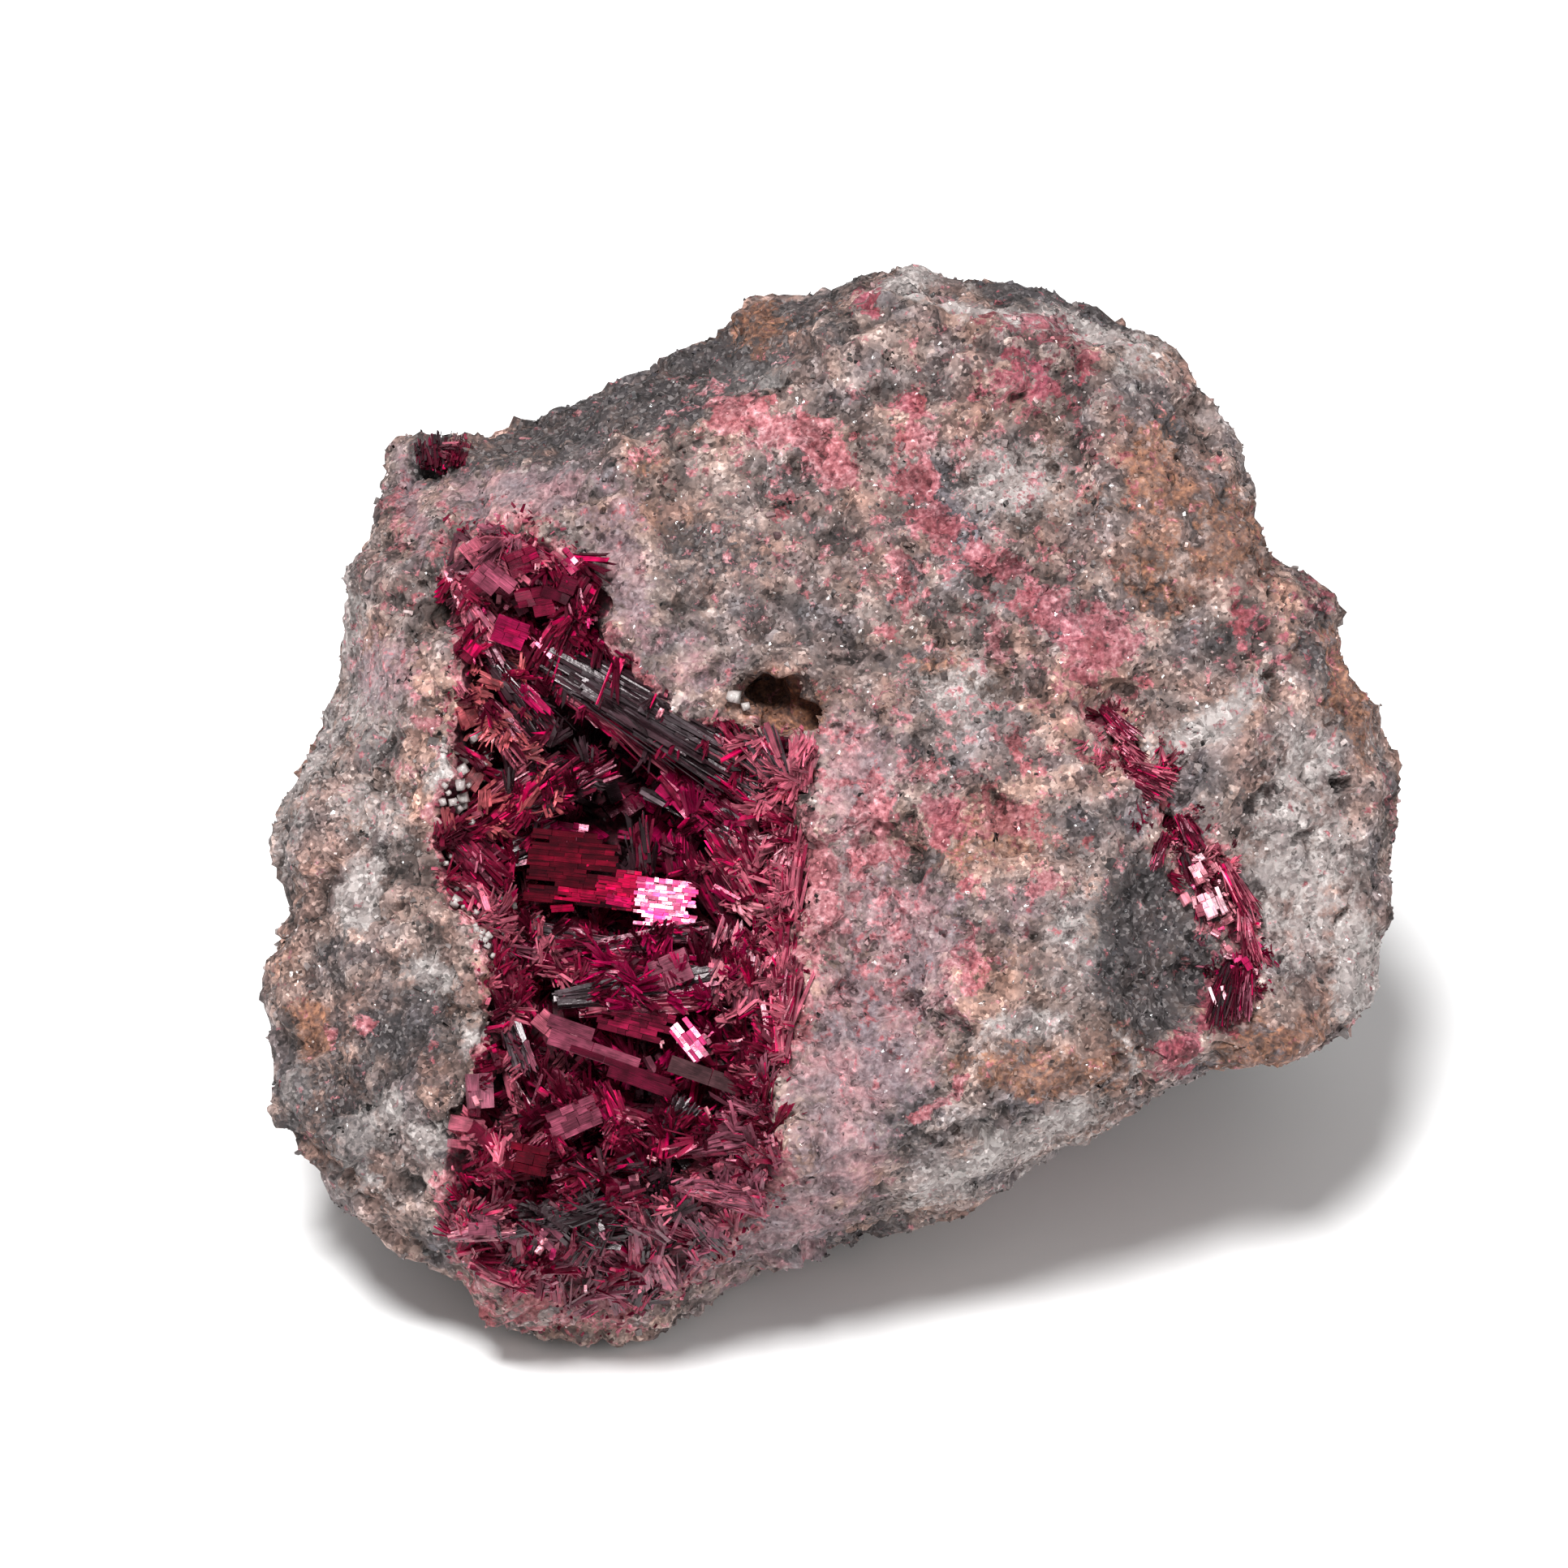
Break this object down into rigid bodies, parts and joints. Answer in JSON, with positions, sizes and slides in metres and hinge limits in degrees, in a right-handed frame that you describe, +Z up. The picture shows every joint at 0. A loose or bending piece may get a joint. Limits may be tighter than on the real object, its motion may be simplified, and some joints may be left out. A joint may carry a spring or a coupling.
{
  "type": "erythrite on matrix",
  "caption": "Hand-sized broken block of grey carbonate and quartz rock with a long vug and a fissure lined with crimson bladed erythrite crystals, resting on a flat base.",
  "frame": {"origin": "middle of the bounding box's footprint, on the surface that the block rests on", "axes": "+X to the right along the longest extent, +Y away from the viewer of the broad face that carries the crystals, +Z up"},
  "size_m": [0.088, 0.0782, 0.067],
  "materials": {
    "matrix": "rough, sugary broken grains with powdery pink stain",
    "erythrite": "vitreous to silky crimson blades"
  },
  "bodies": {
    "root": {"matrix": "matrix", "vug_erythrite": "erythrite", "fissure_erythrite": "erythrite"}
  },
  "joints": []
}
